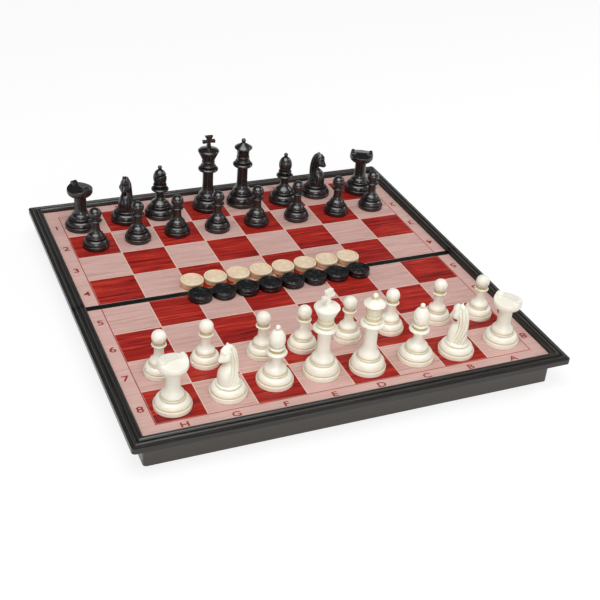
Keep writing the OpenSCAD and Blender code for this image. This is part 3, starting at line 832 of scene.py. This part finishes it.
def knight_mesh():
    """A horse's neck and head grown from its side outline, on a turned base."""
    r, h = PIECE_R, KNIGHT_H
    foot = foot_z(DOME_H) - 0.05 * r
    neck = h - foot
    outline = spline([(x * r, foot + z * neck) for x, z in HORSE_SIDE], 6)
    border = len(outline)
    ring = [(i, (i + 1) % border) for i in range(border)]
    spots = [Vector(p) for p in outline + horse_grid(outline)]
    verts, _, faces, _, _, _ = delaunay_2d_cdt(spots, ring, [], 1, 1e-4)
    edges = Counter(tuple(sorted(e)) for f in faces for e in zip(f, list(f[1:]) + [f[0]]))
    rims = {i for edge, uses in edges.items() if uses == 1 for i in edge}
    points, front, back = [], {}, {}
    for i, (x, z) in enumerate((v.x, v.y) for v in verts):
        front[i] = len(points)
        if i in rims:
            back[i] = front[i]
            points.append((x, 0, z))
            continue
        w = horse_half_width(x / r, (z - foot) / neck, edge_distance(outline, x, z))
        back[i] = front[i] + 1
        points += [(x, -w, z), (x, w, z)]
    skin = [tuple(front[i] for i in f) for f in faces]
    skin += [tuple(back[i] for i in reversed(f)) for f in faces]
    parts = [new_mesh("neck", points, skin)]
    for s in (-1, 1):
        ear = lathe("ear", EAR_LINE, 12)
        ear.transform(Matrix.Translation((0.08 * r, s * 0.12 * r, h - 2.4))
                      @ Matrix.Rotation(radians(-6), 4, "Y")
                      @ Matrix.Rotation(radians(-8 * s), 4, "X"))
        parts.append(ear)
    for mesh in parts:
        outwards(mesh)
    horse = softened("horse", parts, 0.17, 1)
    # painted shade in the hollows between the locks of the mane
    shade_and_glow_values = []
    for v in horse.vertices:
        px, pz = v.co.x / r, (v.co.z - foot) / neck
        shade_and_glow_values.append(0.6 * maned(px, pz) * max(0.0, -strand(px, pz)) ** 2)
    set_painted_shade_and_glow(horse, shade_and_glow_values)
    base = base_line(r, DOME_H, DETAIL)
    base += [(0.62 * r, foot_z(DOME_H) + 0.02), (0.3 * r, foot_z(DOME_H) + 0.1)]
    return joined("knight", [turned(base), horse])


# ---------------------------------------------------------------- the men
SHAPES = {"pawn": turned(pawn_line(PAWN_R, PAWN_H, DETAIL)), "rook": rook_mesh(),
          "bishop": bishop_mesh(), "queen": turned(queen_line(PIECE_R, QUEEN_H, DETAIL)),
          "king": king_mesh(), "knight": knight_mesh(), "draught": draught_mesh()}
DRAUGHT_MAGNET, CHESS_MAGNET = magnet_mesh(DRAUGHT_MAGNET_T), magnet_mesh(MAGNET_T)
for mesh in list(SHAPES.values()) + [DRAUGHT_MAGNET, CHESS_MAGNET]:
    outwards(mesh)
    mesh.transform(Matrix.Scale(MM, 4))
    smooth(mesh)
DRAUGHT_MAGNET.materials.append(FERRITE)
CHESS_MAGNET.materials.append(FERRITE)
# how far each man is turned in the photo, in degrees; the round ones are left at 0
TURNS = {"black_rook_h": 292, "black_knight_g": 236, "black_bishop_f": 285, "black_bishop_c": 60,
         "black_knight_b": 320, "black_rook_a": 333, "white_rook_h": 13, "white_knight_g": 190,
         "white_bishop_f": 100, "white_king_e": 25, "white_bishop_c": 120, "white_knight_b": 130,
         "white_rook_a": 299}
MAN_FINISH = {"white": (IVORY, "white_man_plastic"), "black": (EBONY, "black_man_plastic")}
DRAUGHT_FINISH = {"cream": (CREAM, "cream_draught_plastic"),
                  "black": (JET, "black_draught_plastic")}
coloured = {}
for name in sorted(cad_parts):
    words = name.split("_")
    if len(words) != 3 or words[1] not in SHAPES:
        continue
    side, kind, mark = words
    if kind == "draught":
        (material, slot), magnet = DRAUGHT_FINISH[side], DRAUGHT_MAGNET
        turn = 37 * int(mark) + (11 if side == "cream" else 0)
    else:
        (material, slot), magnet = MAN_FINISH[side], CHESS_MAGNET
        turn = TURNS.get(name, 0)
    if (side, kind) not in coloured:
        mesh = SHAPES[kind].copy()
        mesh.materials.clear()
        mesh.materials.append(material)
        coloured[side, kind] = mesh
    low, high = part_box(name)
    place = Matrix.Translation(((low.x + high.x) / 2, (low.y + high.y) / 2, low.z))
    man = placed(name + "_turned", coloured[side, kind])
    man.matrix_world = place @ Matrix.Rotation(radians(turn), 4, "Z")
    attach(man, name)
    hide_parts(name)
    disc = placed(name + "_magnet", magnet)
    disc.matrix_world = place
    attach(disc, name)


# ---------------------------------------------------------------- coordinates on the border
DIGIT_SIZE, DIGIT_WIDE = 6.6, 1.25
LETTER_SIZE, LETTER_WIDE = 5.5, 1.3
DIGIT_X = 112.2         # from the middle of the board to the numbers
LETTER_GAP = 4.2        # from the last row of squares to the letters
INK_LIFT = 0.015


def glyph(text):
    """One flat letter or number, centred on the origin."""
    size, wide = (DIGIT_SIZE, DIGIT_WIDE) if text.isdigit() else (LETTER_SIZE, LETTER_WIDE)
    curve = bpy.data.curves.new("glyph", "FONT")
    curve.body = text
    curve.size = size
    curve.align_x = "CENTER"
    curve.offset = 0.1
    curve.resolution_u = 4
    thing = placed("glyph", curve)
    graph = bpy.context.evaluated_depsgraph_get()
    mesh = bpy.data.meshes.new_from_object(thing.evaluated_get(graph))
    bpy.data.objects.remove(thing)
    xs = [v.co.x for v in mesh.vertices]
    ys = [v.co.y for v in mesh.vertices]
    mesh.transform(Matrix.Diagonal((wide, 1, 1, 1)) @ Matrix.Translation(
        (-(min(xs) + max(xs)) / 2, -(min(ys) + max(ys)) / 2, 0)))
    return mesh


def coordinates(half, sign, rows):
    meshes = []
    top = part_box(half + "_board_print")[1].z / MM + INK_LIFT

    def put(text, x, y, turn):
        mesh = glyph(text)
        mesh.transform(Matrix.Translation((x, y, top)) @ Matrix.Rotation(radians(turn), 4, "Z"))
        meshes.append(mesh)

    for i, row in enumerate(rows):
        y = sign * (SHEET_Y0 + (i + 0.5) * SQUARE)
        put(row, -DIGIT_X, y, 0)
        put(row, DIGIT_X, y, 180)
    y = sign * (SHEET_Y0 + 4 * SQUARE + LETTER_GAP)
    for i, letter in enumerate("HGFEDCBA"):
        put(letter, (i - 3.5) * SQUARE, y, 180 if sign > 0 else 0)
    mesh = joined(half + "_coordinates", meshes)
    mesh.transform(Matrix.Scale(MM, 4))
    mesh.materials.append(INK)
    thing = placed(half + "_coordinates", mesh)
    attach(thing, half + "_half")


coordinates("rear", 1, "4321")
coordinates("front", -1, "5678")


# ---------------------------------------------------------------- floor, world and lamps
FLOOR_HALF = 6
FLOOR_DROP = 0.0002     # keeps the floor clear of the feet


def floor_material():
    """Plain for the light; nearly all glow to the camera and in reflections, so that it is white
    and still keeps the object's shadow."""
    n = Nodes("floor")
    ray = n.node("ShaderNodeLightPath").outputs
    seen = n.math("MINIMUM", 1.0, n.add(n.add(ray["Is Camera Ray"], ray["Is Glossy Ray"]),
                                        ray["Is Transmission Ray"]))
    plain = n.node("ShaderNodeBsdfDiffuse", {0: grey(0.8)}).outputs[0]
    faint = n.node("ShaderNodeBsdfDiffuse", {0: grey(0.22)}).outputs[0]
    glow = n.node("ShaderNodeEmission", {0: grey(1), 1: 0.81}).outputs[0]
    shown = n.node("ShaderNodeAddShader", {0: faint, 1: glow}).outputs[0]
    mix = n.node("ShaderNodeMixShader", {0: seen, 1: plain, 2: shown}).outputs[0]
    n.tree.links.new(mix, n.out.inputs[0])
    return n.material


corners = [(-FLOOR_HALF, -FLOOR_HALF, 0), (FLOOR_HALF, -FLOOR_HALF, 0),
           (FLOOR_HALF, FLOOR_HALF, 0), (-FLOOR_HALF, FLOOR_HALF, 0)]
floor_mesh = new_mesh("floor", corners, [(0, 1, 2, 3)])
floor_mesh.materials.append(floor_material())
floor = placed("floor", floor_mesh)
floor.location.z = -FLOOR_DROP

world = bpy.data.worlds.new("studio")
bpy.context.scene.world = world
world.use_nodes = True
tree = world.node_tree
tree.nodes.clear()


def world_node(kind, *inputs, **settings):
    n = tree.nodes.new(kind)
    for key, value in settings.items():
        setattr(n, key, value)
    for i, value in enumerate(inputs):
        if isinstance(value, bpy.types.NodeSocket):
            tree.links.new(value, n.inputs[i])
        else:
            n.inputs[i].default_value = value
    return n


def world_ramp(value, low, high, a, b):
    return world_node("ShaderNodeMapRange", value, low, high, a, b).outputs[0]


def world_math(operation, a, b):
    return world_node("ShaderNodeMath", a, b, operation=operation).outputs[0]


# Soft light comes from all round. The camera sees plain white. A reflection sees white at the
# horizon, dim above that, a grey wall in front, and one broad pale softbox high up before it.
SOFTBOX_WAY = (-0.14, -0.33, 0.934)
ray = world_node("ShaderNodeLightPath").outputs
way = world_node("ShaderNodeTexCoord").outputs["Generated"]
_, fore, up = world_node("ShaderNodeSeparateXYZ", way).outputs
high = world_node("ShaderNodeVectorMath", way, SOFTBOX_WAY,
                  operation="DOT_PRODUCT").outputs["Value"]
dim = world_ramp(up, 0.06, 0.36, 1.0, 0.08)
box = world_ramp(high, 0.8, 0.9, 0.0, 2.6)
wall = world_ramp(fore, 0.0, -0.5, 0.0, 0.4)
seen = world_math("MAXIMUM", world_math("ADD", dim, box), wall)
ambient = world_node("ShaderNodeBackground", (1, 0.995, 0.985, 1), 0.3).outputs[0]
shown = world_node("ShaderNodeBackground", (0.94, 0.96, 1, 1), seen).outputs[0]
white = world_node("ShaderNodeBackground", (1, 1, 1, 1), 1.0).outputs[0]
either = world_math("MAXIMUM", ray["Is Glossy Ray"], ray["Is Transmission Ray"])
blend = world_node("ShaderNodeMixShader", either, ambient, shown).outputs[0]
blend = world_node("ShaderNodeMixShader", ray["Is Camera Ray"], blend, white).outputs[0]
world_node("ShaderNodeOutputWorld", blend)


def lamp(name, place, wide, deep, power, tint):
    """A rectangular lamp that faces the middle of the board."""
    data = bpy.data.lights.new(name, "AREA")
    data.shape = "RECTANGLE"
    data.size = wide
    data.size_y = deep
    data.energy = power
    data.color = tint
    thing = placed(name, data)
    thing.location = place
    thing.rotation_euler = (-Vector(place)).to_track_quat("-Z", "Y").to_euler()


lamp("top_softbox", (-0.2, -0.3, 1.1), 1.0, 0.8, 8.6, (0.985, 0.99, 1))
lamp("right_softbox", (1.0, 0.1, 0.62), 0.3, 0.3, 2.4, (1, 0.99, 0.97))
lamp("front_fill", (-0.3, -1.2, 0.36), 0.6, 0.3, 4.6, (1, 0.975, 0.94))
